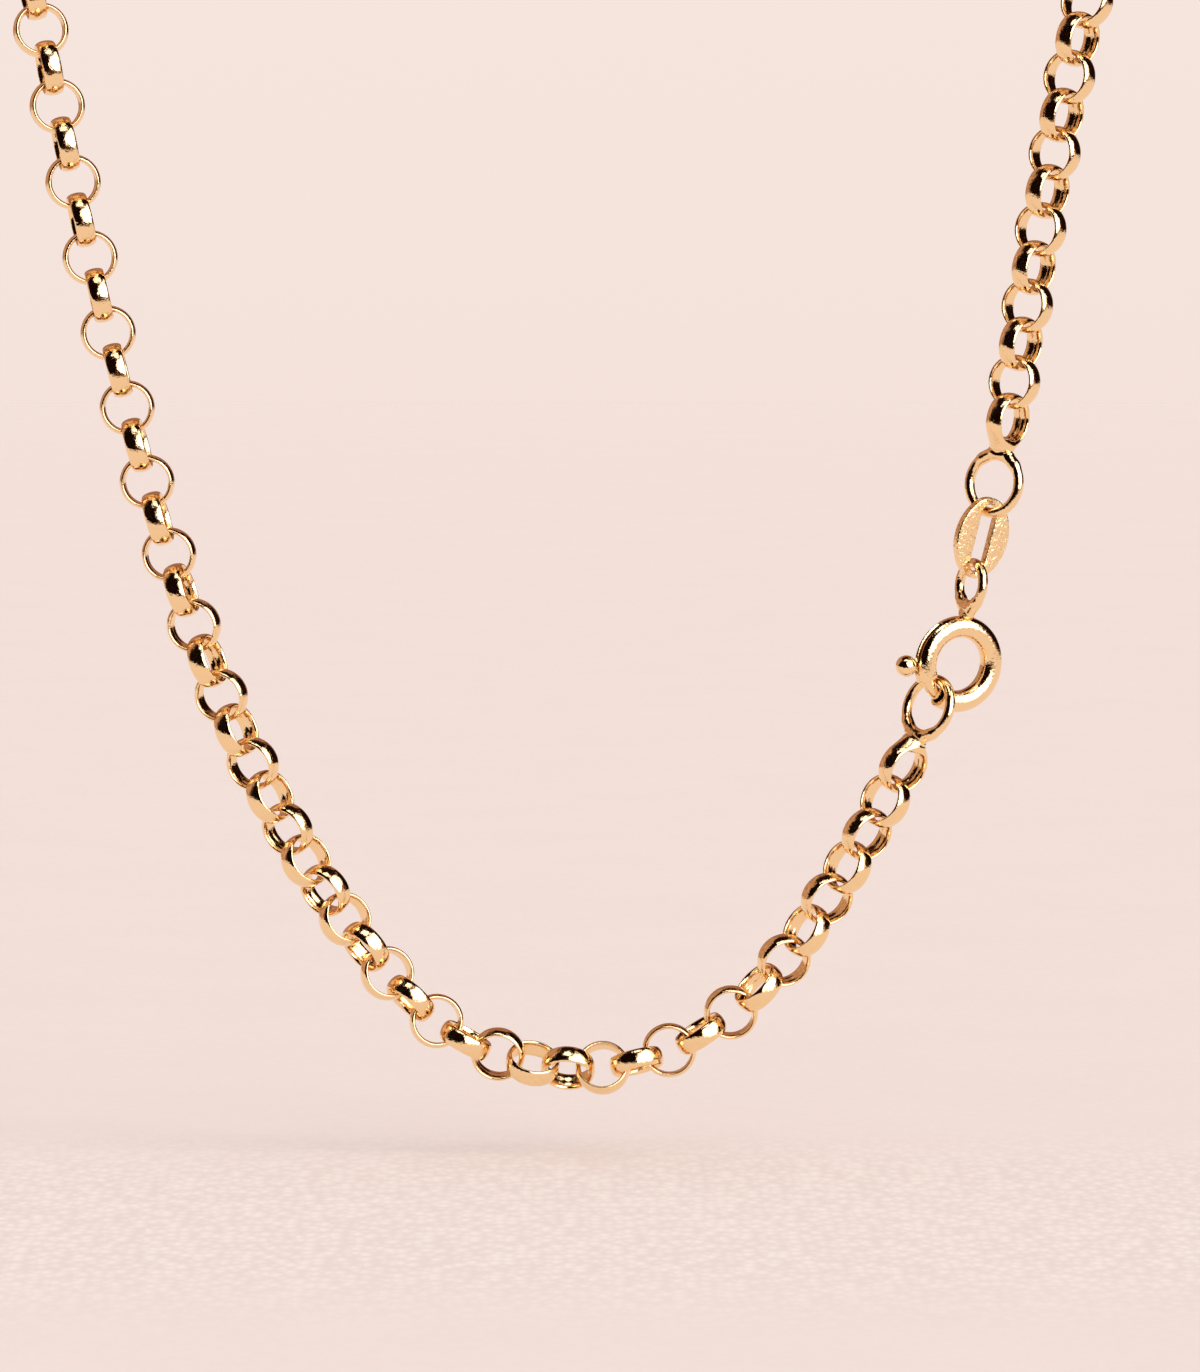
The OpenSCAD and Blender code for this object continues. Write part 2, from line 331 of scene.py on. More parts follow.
bolt_turn = hang(*BOLT_HANG)
tag_turn = hang(*TAG_HANG)
upper_turn = hang(*UPPER_HANG)
lower_turn = hang(*LOWER_HANG)
tube_r = (BOLT_D - TUBE_D) / 2
jump_r = (JUMP_D - JUMP_WIRE) / 2
bail_r = (BAIL_D - BAIL_WIRE) / 2
bail_up = BOLT_D / 2 + BAIL_GAP + BAIL_D / 2
slot_half = TAG_L / 2 - TAG_BAR
end_reach = JUMP_D / 2 + SOLDER_GAP + LINK_D / 2
tag_at = (BOLT_AT + bolt_turn @ Vector((0, bail_up + bail_r, 0))
          + tag_turn @ Vector((0, slot_half - BAIL_WIRE / 2 - SEAT, 0)))
upper_at = (tag_at + tag_turn @ Vector((0, slot_half - JUMP_WIRE / 2 - SEAT, 0))
            + upper_turn @ Vector((0, jump_r, 0)))
cross = math.radians(CROSS_AT)
lower_drop = jump_r - JUMP_WIRE / 2 - BOLT_WIRE / 2 - BOLT_SEAT
lower_at = (BOLT_AT + bolt_turn @ Vector((tube_r * math.cos(cross), tube_r * math.sin(cross), 0))
            - lower_turn @ Vector((CROSS_SIDE, lower_drop, 0)))


def round_ring(ring_r, wire_d, steps, sides):
    """A ring of round wire about Z."""
    return spun([(ring_r + wire_d / 2 * math.cos(2 * math.pi * i / sides),
                  wire_d / 2 * math.sin(2 * math.pi * i / sides)) for i in range(sides)], steps)


def from_ring(p, ring_r, wire_d):
    """Distance of points to the skin of a ring of round wire about Z."""
    return np.hypot(np.hypot(p[:, 0], p[:, 1]) - ring_r, p[:, 2]) - wire_d / 2


def from_bar(p, start, end, d):
    """Distance to the skin of a round-ended bar."""
    run = end - start
    share = np.clip((p - start) @ run / (run @ run), 0, 1)
    return np.linalg.norm(p - start - share[:, None] * run, axis=1) - d / 2


def from_outline(p, outline):
    """Distance to the skin of an outline spun about Z."""
    flat = np.stack([np.hypot(p[:, 0], p[:, 1]), p[:, 2]], 1)
    best = np.full(len(p), 1e9)
    inside = np.zeros(len(p), bool)
    for i, b in enumerate(outline):
        a = np.array(outline[i - 1])
        run = np.array(b) - a
        share = np.clip((flat - a) @ run / (run @ run), 0, 1)
        best = np.minimum(best, np.linalg.norm(flat - a - share[:, None] * run, axis=1))
        if run[1]:
            spans = (flat[:, 1] >= a[1]) != (flat[:, 1] >= b[1])
            inside ^= spans & (flat[:, 0] < a[0] + (flat[:, 1] - a[1]) / run[1] * run[0])
    return np.where(inside, -best, best)


def flow(a, b, reach):
    """Two skins as one, run into each other over a reach, as solder does."""
    near = np.maximum(reach - np.abs(a - b), 0) / reach
    return np.minimum(a, b) - near ** 2 * reach / 4


def bar(start, end, d):
    """A round bar between two points, with the place that it stands in."""
    run = Vector(end) - Vector(start)
    shape = bmesh.new()
    bmesh.ops.create_cone(shape, cap_ends=True, segments=WIRE_SIDES, radius1=d / 2,
                          radius2=d / 2, depth=run.length)
    middle = (Vector(start) + Vector(end)) / 2
    return shape, Matrix.Translation(middle) @ run.to_track_quat("Z", "Y").to_matrix().to_4x4()


def own(p, place):
    """Points in a placed shape's own millimetres."""
    turn = np.array(place.to_3x3())
    return (p - np.array(place.translation)) @ turn


def settled(rough_mesh, distance):
    """Meshes joined shapes as one skin and lets it settle on the surface that their
    distance gives."""
    rough = bpy.data.objects.new("rough", rough_mesh)
    bpy.context.scene.collection.objects.link(rough)
    skin = rough.modifiers.new("skin", "REMESH")
    skin.mode = "VOXEL"
    skin.voxel_size = SKIN_STEP
    ready = rough.evaluated_get(bpy.context.evaluated_depsgraph_get())
    mesh = bpy.data.meshes.new_from_object(ready)
    bpy.data.objects.remove(rough)
    p = np.empty(len(mesh.vertices) * 3, np.float32)
    mesh.vertices.foreach_get("co", p)
    p = p.reshape(-1, 3).astype(float)
    for _ in range(SETTLE_STEPS):
        here = distance(p)
        slope = np.stack([(distance(p + SLOPE_STEP * way) - here) / SLOPE_STEP
                          for way in np.eye(3)], 1)
        size = np.maximum((slope ** 2).sum(1), SLOPE_LEAST)
        p -= np.clip(here / size, -SETTLE_MOST, SETTLE_MOST)[:, None] * slope
    mesh.vertices.foreach_set("co", p.astype(np.float32).ravel())
    mesh.update()
    return mesh


def into_frame(mesh):
    """Takes a mesh in picture millimetres to the frame's own place and metres."""
    mesh.transform(Matrix.Scale(MM, 4) @ Matrix.Translation(-NAPE))
    return mesh


def joined(shapes):
    """Several placed bmeshes as one mesh."""
    bm = bmesh.new()
    for shape, place in shapes:
        bmesh.ops.transform(shape, matrix=place, verts=shape.verts)
        bm.from_mesh(mesh_of(shape, "part"))
    return mesh_of(bm, "joined")


def end_link_place(name, centre, away):
    """Where the soldered link of an end ring lies, read from the CAD node's own skin."""
    spots = np.array([v.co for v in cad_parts[name].data.vertices]) / MM + np.array(NAPE)
    off = spots - np.array(centre)
    near = np.linalg.norm(off, axis=1) < LINK_D * LINK_REACH
    near &= off @ np.array(away) < LINK_BACK
    axis = Vector(np.linalg.eigh(off[near].T @ off[near])[1][:, 0])
    turn = Vector((0, 0, 1)).rotation_difference(axis)
    return Matrix.Translation(centre) @ turn.to_matrix().to_4x4()


def end_ring(name, at, turn, side):
    """Ring, solder neck and end link as one piece; side is 1 with the link above."""
    ring = Matrix.Translation(at) @ turn
    up = (turn @ Vector((0, side, 0))).normalized()
    link_at = at + up * end_reach
    link = end_link_place(name, link_at, -up)
    start = np.array(at + up * (jump_r + LEG_TIP))
    end = np.array(link_at - up * (LINK_D / 2 - LINK_T / 2))
    outline = whole_outline(band_outline())
    legs = [np.array(ring @ Vector((jump_r * math.sin(a), side * jump_r * math.cos(a), 0)))
            for a in (math.radians(-LEG_AT), math.radians(LEG_AT))]
    hoops = [(round_ring(jump_r, JUMP_WIRE, RING_STEPS, WIRE_SIDES), ring),
             (spun(outline, RING_STEPS), link)]
    rough = joined(hoops + [bar(start, end, NECK_D)] + [bar(leg, start, LEG_D) for leg in legs])

    def distance(p):
        waist = from_bar(p, start, end, NECK_D)
        for leg in legs:
            waist = flow(waist, from_bar(p, leg, start, LEG_D), FLARE / 2)
        hoop = flow(from_ring(own(p, ring), jump_r, JUMP_WIRE), waist, FLARE / 2)
        return flow(hoop, from_outline(own(p, link), outline), FLARE)

    mesh = into_frame(settled(rough, distance))
    return finished(mesh, name + "_soldered", "necklace", [name], polished_gold)


end_ring("lower_end_ring", lower_at, lower_turn, -1)
end_ring("upper_end_ring", upper_at, upper_turn, 1)

# Tag link
# An oval plate of gold with a long slot, stamped from sheet. It is the maker's place for
# marks, left bare here; handling has scratched its faces and softened its edges.
TAG_W = 4.6
TAG_T = 0.6
TAG_END_R = 1.75
TAG_SLOT_W = 1.36
TAG_SOFT = 0.1
SOFT_STEPS = 4
OUTLINE_STEPS = 72
# Edges bent by more than this, in radians, are rounded off.
SHARP = 1

# The same gold, stamped and handled: deeper dents and scratches make its shine satin.
scratched_gold = gold("scratched yellow gold", rough=0.12, dent_depth=0.08,
                      grain_depth=0.022, scratch_depth=0.006)


def oval_point(angle):
    """A point of the tag's outline, made of two end arcs and two side arcs."""
    end_y = TAG_L / 2 - TAG_END_R
    side_r = ((TAG_W / 2) ** 2 + end_y ** 2 - TAG_END_R ** 2) / (TAG_W - 2 * TAG_END_R)
    side_x = side_r - TAG_W / 2
    x, y = math.cos(angle), math.sin(angle)
    if abs(y) * side_x > abs(x) * end_y:
        return x * TAG_END_R, y * TAG_END_R + math.copysign(end_y, y)
    return x * side_r - math.copysign(side_x, x), y * side_r


def slot_point(angle):
    """A point of the slot's outline, two half circles joined by straights."""
    x, y = math.cos(angle), math.sin(angle)
    straight = slot_half - TAG_SLOT_W / 2
    return x * TAG_SLOT_W / 2, y * TAG_SLOT_W / 2 + math.copysign(straight, y)


def tag_plate():
    """The plate between its two outlines, raised to its thickness, its rims rounded."""
    bm = bmesh.new()
    turns = [2 * math.pi * (i + 0.5) / OUTLINE_STEPS for i in range(OUTLINE_STEPS)]
    loops = []
    for point in (oval_point, slot_point):
        verts = [bm.verts.new((*point(a), -TAG_T / 2)) for a in turns]
        loops.append([bm.edges.new((verts[i - 1], verts[i])) for i in range(len(verts))])
    face = bmesh.ops.bridge_loops(bm, edges=loops[0] + loops[1])["faces"]
    lifted = bmesh.ops.extrude_face_region(bm, geom=face, use_keep_orig=True)["geom"]
    bmesh.ops.translate(bm, vec=(0, 0, TAG_T),
                        verts=[g for g in lifted if isinstance(g, bmesh.types.BMVert)])
    bmesh.ops.recalc_face_normals(bm, faces=bm.faces)
    rims = [e for e in bm.edges if e.calc_face_angle(0) > SHARP]
    bmesh.ops.bevel(bm, geom=rims, offset=TAG_SOFT, segments=SOFT_STEPS, profile=0.5,
                    affect="EDGES", material=-1)
    bmesh.ops.transform(bm, matrix=Matrix.Translation(tag_at) @ tag_turn, verts=bm.verts)
    return mesh_of(bm, "tag")


finished(into_frame(tag_plate()), "tag_link_plate", "necklace", ["tag_link"], scratched_gold)

# Bolt ring
# A ring bent from gold tube, with a mouth for the jump ring and a slot on its outside
# for the thumb ball's stem. The bolt and its spring run inside the tube.
TUBE_WALL = 0.23
SHELL_D = 1.6
MOUTH_AT = 226.5
MOUTH_W = 1.7
TIP_IN = 0.15
STEM_BACK = 2.87
STEM_D = 0.5
STEM_ROOM = 0.08
SLOT_ROOM = 0.2
TRAVEL = 2.4
TUBE_SIDES = 36
SLOT_SIDES = 4
TUBE_STEP = 4.5
SLOT_SOFT = 0.035


def around(length):
    """Degrees round the ring that a length along the middle of its tube takes up."""
    return math.degrees(length / tube_r)


mouth_a0 = MOUTH_AT - around(MOUTH_W / 2)
mouth_a1 = MOUTH_AT + around(MOUTH_W / 2)
tip_at = mouth_a1 + around(TIP_IN)
stem_at = tip_at - around(STEM_BACK)
slot_end = around(STEM_D / 2 + STEM_ROOM + SLOT_ROOM)
slot_a0 = stem_at - around(TRAVEL) - slot_end
slot_a1 = stem_at + slot_end


def tube_shell():
    """The tube with its slot: rows of rings round the tube, some faces taken out on its
    outside, then given the thickness of its wall."""
    open_half = math.asin((STEM_D / 2 + STEM_ROOM) / (SHELL_D / 2))
    rest_sides = TUBE_SIDES - SLOT_SIDES
    sides = [open_half * (2 * i / SLOT_SIDES - 1) for i in range(SLOT_SIDES)]
    sides += [open_half + (2 * math.pi - 2 * open_half) * i / rest_sides
              for i in range(rest_sides)]
    stops = [mouth_a1 - 360, slot_a0, slot_a1, mouth_a0]
    rows = [stops[0]]
    for a, b in zip(stops, stops[1:]):
        count = round((b - a) / TUBE_STEP)
        rows += [a + (b - a) * (i + 1) / count for i in range(count)]
    bm = bmesh.new()
    loops = []
    for row in rows:
        turn = Matrix.Rotation(math.radians(row), 3, "Z")
        verts = [bm.verts.new(turn @ Vector((tube_r + SHELL_D / 2 * math.cos(s), 0,
                                             SHELL_D / 2 * math.sin(s)))) for s in sides]
        loops.append([bm.edges.new((verts[i - 1], verts[i])) for i in range(len(verts))])
    for a, b in zip(loops, loops[1:]):
        bmesh.ops.bridge_loops(bm, edges=a + b)
    bmesh.ops.recalc_face_normals(bm, faces=bm.faces)
    gone = []
    for face in bm.faces:
        c = face.calc_center_median()
        angle = math.degrees(math.atan2(c.y, c.x)) % 360
        outward = math.hypot(c.x, c.y) - tube_r
        if slot_a0 < angle < slot_a1 and outward > 0:
            if abs(c.z) < STEM_D / 2 + STEM_ROOM:
                gone.append(face)
    bmesh.ops.delete(bm, geom=gone, context="FACES")
    bmesh.ops.solidify(bm, geom=bm.faces[:], thickness=TUBE_WALL)
    rims = [e for e in bm.edges if e.calc_face_angle(0) > SHARP]
    bmesh.ops.bevel(bm, geom=rims, offset=SLOT_SOFT, segments=2, profile=0.5,
                    affect="EDGES", material=-1)
    bmesh.ops.transform(bm, matrix=Matrix.Translation(BOLT_AT) @ bolt_turn, verts=bm.verts)
    return mesh_of(bm, "tube")


finished(into_frame(tube_shell()), "bolt_ring_tube", "necklace", ["bolt_ring"], polished_gold)

# Bail
# A loop of round wire soldered upright on the bolt ring; the tag link hangs on it. Its
# two legs come together in a foot of solder that spreads over the tube.
FOOT_D = 0.95
FOOT_WAIST = 0.8
FOOT_FLARE = 0.45
FOOT_SPREAD = 0.5
FOOT_SINK = 0.05
FOOT_FIT = 0.01
BAIL_STEPS = 56


def bail():
    """Loop, legs and foot as one skin, cut off inside the tube and clear of its sides."""
    place = Matrix.Translation(BOLT_AT) @ bolt_turn
    upright = Matrix.Translation((0, bail_up, 0)) @ Matrix.Rotation(math.radians(90), 4, "Y")
    start = np.array((0, BOLT_D / 2 - TUBE_D / 4, 0))
    end = np.array((0, bail_up - bail_r, 0))
    legs = [np.array((0, bail_up - bail_r * math.cos(a), bail_r * math.sin(a)))
            for a in (math.radians(-LEG_AT), math.radians(LEG_AT))]
    loop = round_ring(bail_r, BAIL_WIRE, BAIL_STEPS, WIRE_SIDES)
    rough = joined([(loop, upright), bar(start, end, FOOT_D)]
                   + [bar(leg, start, LEG_D) for leg in legs])

    def distance(p):
        solder = from_bar(p, start, end, FOOT_D * FOOT_WAIST)
        for leg in legs:
            solder = flow(solder, from_bar(p, leg, start, LEG_D), FLARE / 2)
        solder = flow(solder, from_ring(own(p, upright), bail_r, BAIL_WIRE), FLARE / 2)
        on_tube = flow(solder, from_ring(p, tube_r, SHELL_D - FOOT_FIT), FOOT_FLARE)
        under = SHELL_D / 2 - FOOT_SINK - np.hypot(np.hypot(p[:, 0], p[:, 1]) - tube_r, p[:, 2])
        beside = np.linalg.norm(p - np.array((0, bail_up, 0)), axis=1) - BAIL_D / 2 - FOOT_SPREAD
        return np.maximum(np.maximum(on_tube, under), beside)

    mesh = settled(rough, distance)
    mesh.transform(place)
    return into_frame(mesh)


finished(bail(), "bail_soldered", "necklace", ["bolt_ring"], polished_gold)

# Bolt
# A curved gold rod that springs across the mouth of the ring, with a round tip. A thumb
# ball on a short stem stands out through the slot and draws it back.
BOLT_L = 4.0
ROD_D = 0.9
ROD_SIDES = 20
ROD_STEPS = 24
TIP_STEPS = 5
TIP_FLAT = 0.4
BALL_D = 1.55
BALL_GAP = 0.1
BALL_STEPS = 32
STEM_SINK = 0.02
STEM_RISE = 0.06
STEM_FLARE = 1.06
STEM_MEET = 1.3


def bolt():
    """The rod spun round the ring and drawn in to its tip, with the stem and ball spun
    upright and laid out through the slot."""
    bm = bmesh.new()
    first = math.radians(tip_at - around(BOLT_L))
    tip = math.radians(tip_at) - ROD_D / 2 / tube_r
    rod = bmesh.ops.create_circle(bm, cap_ends=False, segments=ROD_SIDES,
                                  radius=ROD_D / 2)["verts"]
    upright = (Matrix.Rotation(first, 4, "Z") @ Matrix.Translation((tube_r, 0, 0))
               @ Matrix.Rotation(math.radians(90), 4, "X"))
    bmesh.ops.transform(bm, matrix=upright, verts=rod)
    edges = list(dict.fromkeys(e for v in rod for e in v.link_edges))
    bmesh.ops.contextual_create(bm, geom=edges)
    spin = bmesh.ops.spin(bm, geom=edges, cent=(0, 0, 0), axis=(0, 0, 1), angle=tip - first,
                          steps=ROD_STEPS)
    end = [g for g in spin["geom_last"] if isinstance(g, bmesh.types.BMEdge)]
    middle = Vector((tube_r * math.cos(tip), tube_r * math.sin(tip), 0))
    ahead = Vector((-math.sin(tip), math.cos(tip), 0))
    before = 1.0
    for i in range(1, TIP_STEPS + 1):
        bend = math.pi / 2 * i / (TIP_STEPS + TIP_FLAT)
        made = bmesh.ops.extrude_edge_only(bm, edges=end)["geom"]
        verts = [g for g in made if isinstance(g, bmesh.types.BMVert)]
        end = [g for g in made if isinstance(g, bmesh.types.BMEdge)
               and all(v in verts for v in g.verts)]
        for v in verts:
            out = v.co - middle
            out -= ahead * out.dot(ahead)
            v.co = (middle + out * math.cos(bend) / before
                    + ahead * (ROD_D / 2 * math.sin(bend)))
        before = math.cos(bend)
    bmesh.ops.contextual_create(bm, geom=end)
    ball_at = BOLT_D / 2 + BALL_GAP + BALL_D / 2
    sweep = [math.pi * (1 - i / BALL_STEPS) for i in range(BALL_STEPS + 1)]
    stem_r = STEM_D / 2
    meet = math.pi - math.asin(stem_r * STEM_MEET / (BALL_D / 2))
    outline = [(0, tube_r), (stem_r, tube_r), (stem_r, BOLT_D / 2 - STEM_SINK),
               (stem_r * STEM_FLARE, BOLT_D / 2 + STEM_RISE)]
    outline += [(BALL_D / 2 * math.sin(a), ball_at + BALL_D / 2 * math.cos(a))
                for a in sweep if a < meet]
    verts = [bm.verts.new((0, r, h)) for r, h in outline]
    edges = [bm.edges.new(pair) for pair in zip(verts, verts[1:])]
    bmesh.ops.spin(bm, geom=verts + edges, cent=(0, 0, 0), axis=(0, 0, 1),
                   angle=2 * math.pi, steps=BALL_STEPS, use_merge=True)
    stem = [v for v in bm.verts
            if v.co.z > tube_r - SAME_SPOT and math.hypot(v.co.x, v.co.y) < BALL_D]
    turn = (Matrix.Rotation(math.radians(stem_at), 4, "Z")
            @ Matrix.Rotation(math.radians(90), 4, "Y"))
    bmesh.ops.transform(bm, matrix=turn, verts=stem)
    bmesh.ops.remove_doubles(bm, verts=bm.verts, dist=SAME_SPOT)
    bmesh.ops.recalc_face_normals(bm, faces=bm.faces)
    bmesh.ops.transform(bm, matrix=Matrix.Translation(BOLT_AT) @ bolt_turn, verts=bm.verts)
    return mesh_of(bm, "bolt")


finished(into_frame(bolt()), "bolt_rod", "bolt", ["bolt"], polished_gold)

# Table
# The table under the necklace is covered with a pale cloth of unbleached cotton in plain
# weave, laid flat. A hand's breadth of it shows sharp, and it runs out into the haze of
# the backdrop. The table's own size is in metres; the rest is in millimetres.
TABLE_SIZE = 12.0
TABLE_DOWN = 34.5
TABLE_EDGE = -140
CLOTH_DEEP = "#EDDBD5"
CLOTH_PALE = "#F0DFD9"
CLOTH_PATCH = 14
# Painted light on the thread crests and painted shade in the dips between them, drawn into the
# cloth's colour in place of the weave's relief.
THREAD_PAINTED_LIGHT = "#F7E9E2"
THREAD_PAINTED_SHADE = "#E9D7D0"
THREAD_W = 0.8
THREAD_RUN = 1.5
THREAD_UNEVEN = 0.5
THREAD_TOP = 0.05
THREAD_FOOT = 0.95
SHARP_AT = -120
SHARP_HALF = 15
BLUR_HALF = 45
SHARP_SHARE = 0.9
BLUR_SHARE = 0.1
HAZE_FROM = 250
HAZE_TO = 1600


def cloth():
    """Unbleached cotton in plain weave: matt, with painted light and shade for its relief:
    short pale dashes of painted light where one thread rides over another and darker dips
    of painted shade between. Its real threads are too fine to show, so each dash stands
    for a few of them."""
    made = bpy.data.materials.new("woven cotton")
    made.use_nodes = True
    tree = made.node_tree
    shader = tree.nodes["Principled BSDF"]
    shader.inputs["Roughness"].default_value = 0.95
    shader.inputs["Specular IOR Level"].default_value = 0.1
    spot = node(tree, "TexCoord").outputs["Object"]
    patchy = node(tree, "TexNoise", [("Vector", spot)], in_Scale=1 / (CLOTH_PATCH * MM),
                  in_Detail=2)
    size = node(tree, "Mapping", [("Vector", spot)],
                in_Scale=(1 / (THREAD_W * MM), 1 / (THREAD_RUN * MM), 1))
    crossing = node(tree, "TexVoronoi", [("Vector", size.outputs[0])], voronoi_dimensions="2D",
                    in_Scale=1, in_Randomness=0.9)
    uneven = node(tree, "SeparateColor", [("Color", crossing.outputs["Color"])])
    depth = node(tree, "Math", [(0, uneven.outputs[0]), (2, crossing.outputs["Distance"])],
                 operation="MULTIPLY_ADD", in_1=THREAD_UNEVEN)
    shade_in_dips = node(tree, "MapRange", [("Value", depth.outputs[0])], in_1=THREAD_TOP,
               in_2=THREAD_FOOT)
    # The weave's painted light and shade: pale thread crests, darker dips between.
    weave_shading = node(tree, "Mix", [("Factor", shade_in_dips.outputs[0])], data_type="RGBA",
                 in_6=srgb(THREAD_PAINTED_LIGHT), in_7=srgb(THREAD_PAINTED_SHADE))
    deep = node(tree, "SeparateXYZ", [("Vector", spot)]).outputs[1]
    off = node(tree, "Math", [(0, deep)], operation="SUBTRACT", in_1=SHARP_AT * MM)
    away = node(tree, "Math", [(0, off.outputs[0])], operation="ABSOLUTE")
    near = node(tree, "MapRange", [("Value", away.outputs[0])],
                interpolation_type="SMOOTHSTEP", in_1=SHARP_HALF * MM, in_2=BLUR_HALF * MM,
                in_3=SHARP_SHARE, in_4=BLUR_SHARE)
    tone = node(tree, "Mix", [("Factor", patchy.outputs[0])], data_type="RGBA",
                in_6=srgb(CLOTH_DEEP), in_7=srgb(CLOTH_PALE))
    # Painted weave shading where the cloth shows sharp; the plain tone elsewhere.
    tone_with_weave_shading = node(tree, "Mix", [("Factor", near.outputs[0]), (6, tone.outputs[2]),
                               (7, weave_shading.outputs[2])], data_type="RGBA")
    tree.links.new(tone_with_weave_shading.outputs[2], shader.inputs["Base Color"])
    reach = node(tree, "VectorMath", [(0, spot)], operation="LENGTH")
    gone = node(tree, "MapRange", [("Value", reach.outputs["Value"])],
                interpolation_type="SMOOTHSTEP", in_1=HAZE_FROM * MM, in_2=HAZE_TO * MM)
    clear = node(tree, "BsdfTransparent")
    fade = node(tree, "MixShader", [(0, gone.outputs[0]), (1, shader.outputs[0]),
                                    (2, clear.outputs[0])])
    tree.links.new(fade.outputs[0], tree.nodes["Material Output"].inputs["Surface"])
    return made


bm = bmesh.new()
bmesh.ops.create_grid(bm, x_segments=1, y_segments=1, size=TABLE_SIZE / 2)
table_mesh = mesh_of(bm, "table")
table_mesh.transform(Matrix.Translation(placed((0, TABLE_EDGE, -TABLE_DOWN)))
                     @ Matrix.Translation((0, TABLE_SIZE / 2, 0)))
table_mesh.materials.append(cloth())
table = bpy.data.objects.new("table", table_mesh)
bpy.context.scene.collection.objects.link(table)

# Light
# The room as polished gold sees it: dim brown walls with some clutter, a bright window to
# the right of the lens, a smaller glow beyond it, a lamp overhead, and the dark shapes of
# the camera and of the floor. Bearings are degrees right of the lens, and degrees up.


def light(red, green=1.0, blue=1.0):
    """A light by its red, with its green and blue as shares of that."""
    return (red, red * green, red * blue, 1)


LEFT_WALL = light(0.42, 0.56, 0.38)
RIGHT_WALL = light(0.16, 0.43, 0.26)
RIGHT_WALL_FROM, RIGHT_WALL_TO = -30, 60
CLUTTER = light(1.0, 0.6, 0.4)
CLUTTER_SCALE = 7
CLUTTER_LOW, CLUTTER_HIGH, CLUTTER_SHARE = 0.46, 0.6, 0.5
BACK_WALL = light(0.36, 0.47, 0.3)
BACK_WALL_FROM, BACK_WALL_TO = 145, 165
CEILING = light(0.014, 0.3, 0.15)
CEILING_FROM, CEILING_TO = 44, 60
FILL = light(0.92)
BACKDROP_LOW = "#F0DDD7"
BACKDROP_HIGH = "#F6E5DD"
BACKDROP_FROM, BACKDROP_TO = -9, 1.5


def patched(tree, under, bearing, at, half, soft, colour):
    """Lays a rounded patch over the walls, with its middle, half size and soft edge."""
    off = node(tree, "VectorMath", [(0, bearing)], operation="SUBTRACT", in_1=(*at, 0))
    part = node(tree, "VectorMath", [(0, off.outputs[0])], operation="DIVIDE", in_1=(*half, 1))
    far = node(tree, "VectorMath", [(0, part.outputs[0])], operation="ABSOLUTE")
    square = node(tree, "VectorMath", [(0, far.outputs[0]), (1, far.outputs[0])],
                  operation="MULTIPLY")
    cube = node(tree, "VectorMath", [(0, far.outputs[0]), (1, square.outputs[0])],
                operation="DOT_PRODUCT")
    inside = node(tree, "MapRange", [("Value", cube.outputs["Value"])],
                  interpolation_type="SMOOTHSTEP", in_1=1 - soft, in_2=1 + soft,
                  in_3=1.0, in_4=0.0)
    return node(tree, "Mix", [(0, inside.outputs[0]), (6, under)], data_type="RGBA",
                in_7=colour).outputs[2]


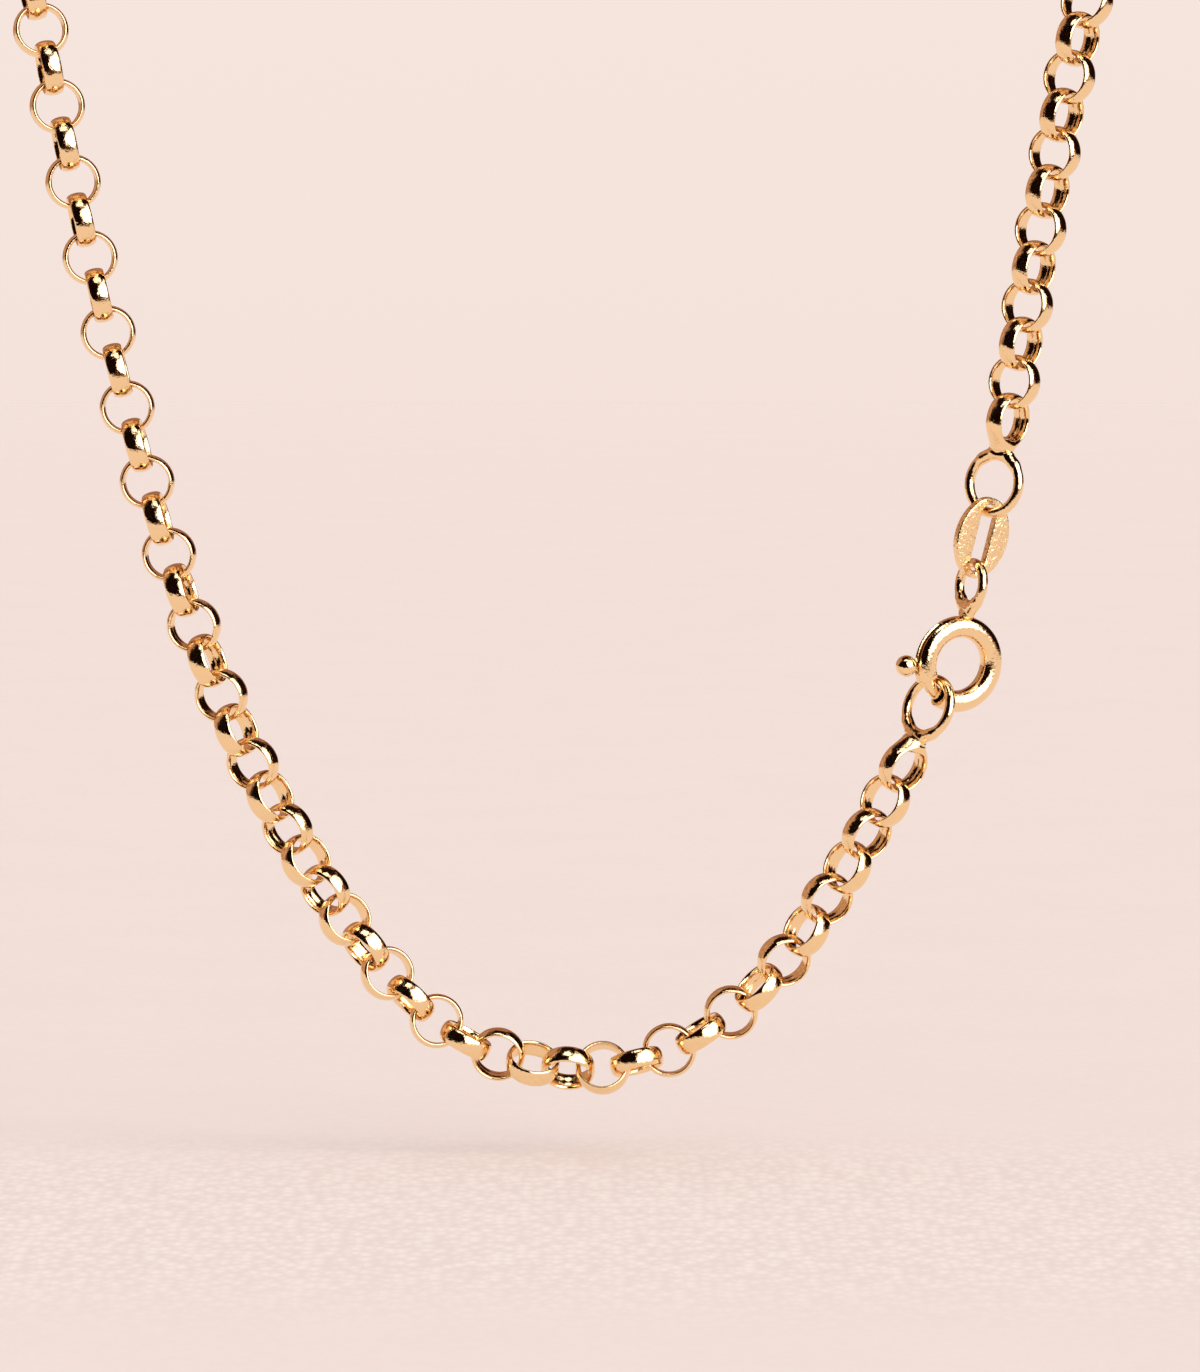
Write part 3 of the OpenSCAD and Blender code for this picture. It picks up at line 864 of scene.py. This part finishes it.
def room():
    """The surroundings: walls and lights for the gold, and a plain backdrop for the lens."""
    world = bpy.data.worlds.new("room")
    world.use_nodes = True
    bpy.context.scene.world = world
    tree = world.node_tree
    tree.nodes.clear()
    way = node(tree, "TexCoord").outputs["Generated"]
    x, y, z = node(tree, "SeparateXYZ", [("Vector", way)]).outputs
    front = node(tree, "Math", [(0, y)], operation="MULTIPLY", in_1=-1.0)
    turn = node(tree, "Math", [(0, x), (1, front.outputs[0])], operation="ARCTAN2")
    across = node(tree, "Math", [(0, turn.outputs[0])], operation="DEGREES").outputs[0]
    rise = node(tree, "Math", [(0, z)], operation="ARCSINE")
    up = node(tree, "Math", [(0, rise.outputs[0])], operation="DEGREES").outputs[0]
    behind = node(tree, "Math", [(0, across)], operation="ABSOLUTE").outputs[0]
    bearing = node(tree, "CombineXYZ", [("X", across), ("Y", up)]).outputs[0]
    clutter = node(tree, "TexNoise", [("Vector", way)], in_Scale=CLUTTER_SCALE, in_Detail=3)

    side = node(tree, "MapRange", [("Value", across)], interpolation_type="SMOOTHSTEP",
                in_1=RIGHT_WALL_FROM, in_2=RIGHT_WALL_TO)
    walls = node(tree, "Mix", [(0, side.outputs[0])], data_type="RGBA", in_6=LEFT_WALL,
                 in_7=RIGHT_WALL).outputs[2]
    for value, low, high, share, colour in (
            (clutter.outputs[0], CLUTTER_LOW, CLUTTER_HIGH, CLUTTER_SHARE, CLUTTER),
            (behind, BACK_WALL_FROM, BACK_WALL_TO, 1.0, BACK_WALL),
            (up, CEILING_FROM, CEILING_TO, 1.0, CEILING)):
        here = node(tree, "MapRange", [("Value", value)], interpolation_type="SMOOTHSTEP",
                    in_1=low, in_2=high, in_4=share)
        walls = node(tree, "Mix", [(0, here.outputs[0]), (6, walls)], data_type="RGBA",
                     in_7=colour).outputs[2]
    for at, half, soft, colour in (
            ((120, 24), (34, 36), 0.4, light(0.01, 0.3, 0.15)),    # dark corner at the right
            ((62, 40), (30, 20), 0.4, light(2.2, 0.94, 0.92)),     # glow beyond the window
            ((10, -35), (75, 35), 0.2, light(0.08, 0.42, 0.25)),   # floor before the table
            ((-42, 22), (50, 46), 0.4, light(0.006, 0.3, 0.15)),   # camera and its stand
            ((40, 22), (36, 28), 0.3, light(3.4, 0.94, 0.95)),     # window
            ((-5, 70), (40, 12), 0.3, light(2.2, 0.95, 0.93))):    # lamp overhead
        walls = patched(tree, walls, bearing, at, half, soft, colour)

    level = node(tree, "MapRange", [("Value", up)], interpolation_type="SMOOTHSTEP",
                 in_1=BACKDROP_FROM, in_2=BACKDROP_TO)
    seen = node(tree, "Mix", [(0, level.outputs[0])], data_type="RGBA",
                in_6=srgb(BACKDROP_LOW), in_7=srgb(BACKDROP_HIGH))
    ray = node(tree, "LightPath")
    lit = node(tree, "Mix", [(0, ray.outputs["Is Glossy Ray"]), (7, walls)],
               data_type="RGBA", in_6=FILL)
    shown = node(tree, "Mix", [(0, ray.outputs["Is Camera Ray"]), (6, lit.outputs[2]),
                               (7, seen.outputs[2])], data_type="RGBA")
    back = node(tree, "Background", [("Color", shown.outputs[2])])
    node(tree, "OutputWorld", [("Surface", back.outputs[0])])


room()

# A faint sun of the same light from the upper right, which gives the cloth its soft
# shadow under the chain and stays out of the gold's reflections.
SUN_SOFT = 30
SUN_POWER = 0.8
SUN_COLOUR = "#FFF4EA"
SUN_WAY = Vector((0.8, -0.3, 0.5))

sun = bpy.data.lights.new("key", "SUN")
sun.angle = math.radians(SUN_SOFT)
sun.energy = SUN_POWER
sun.color = srgb(SUN_COLOUR)[:3]
key = bpy.data.objects.new("key", sun)
bpy.context.scene.collection.objects.link(key)
key.rotation_euler = SUN_WAY.to_track_quat("Z", "Y").to_euler()
key.visible_glossy = False
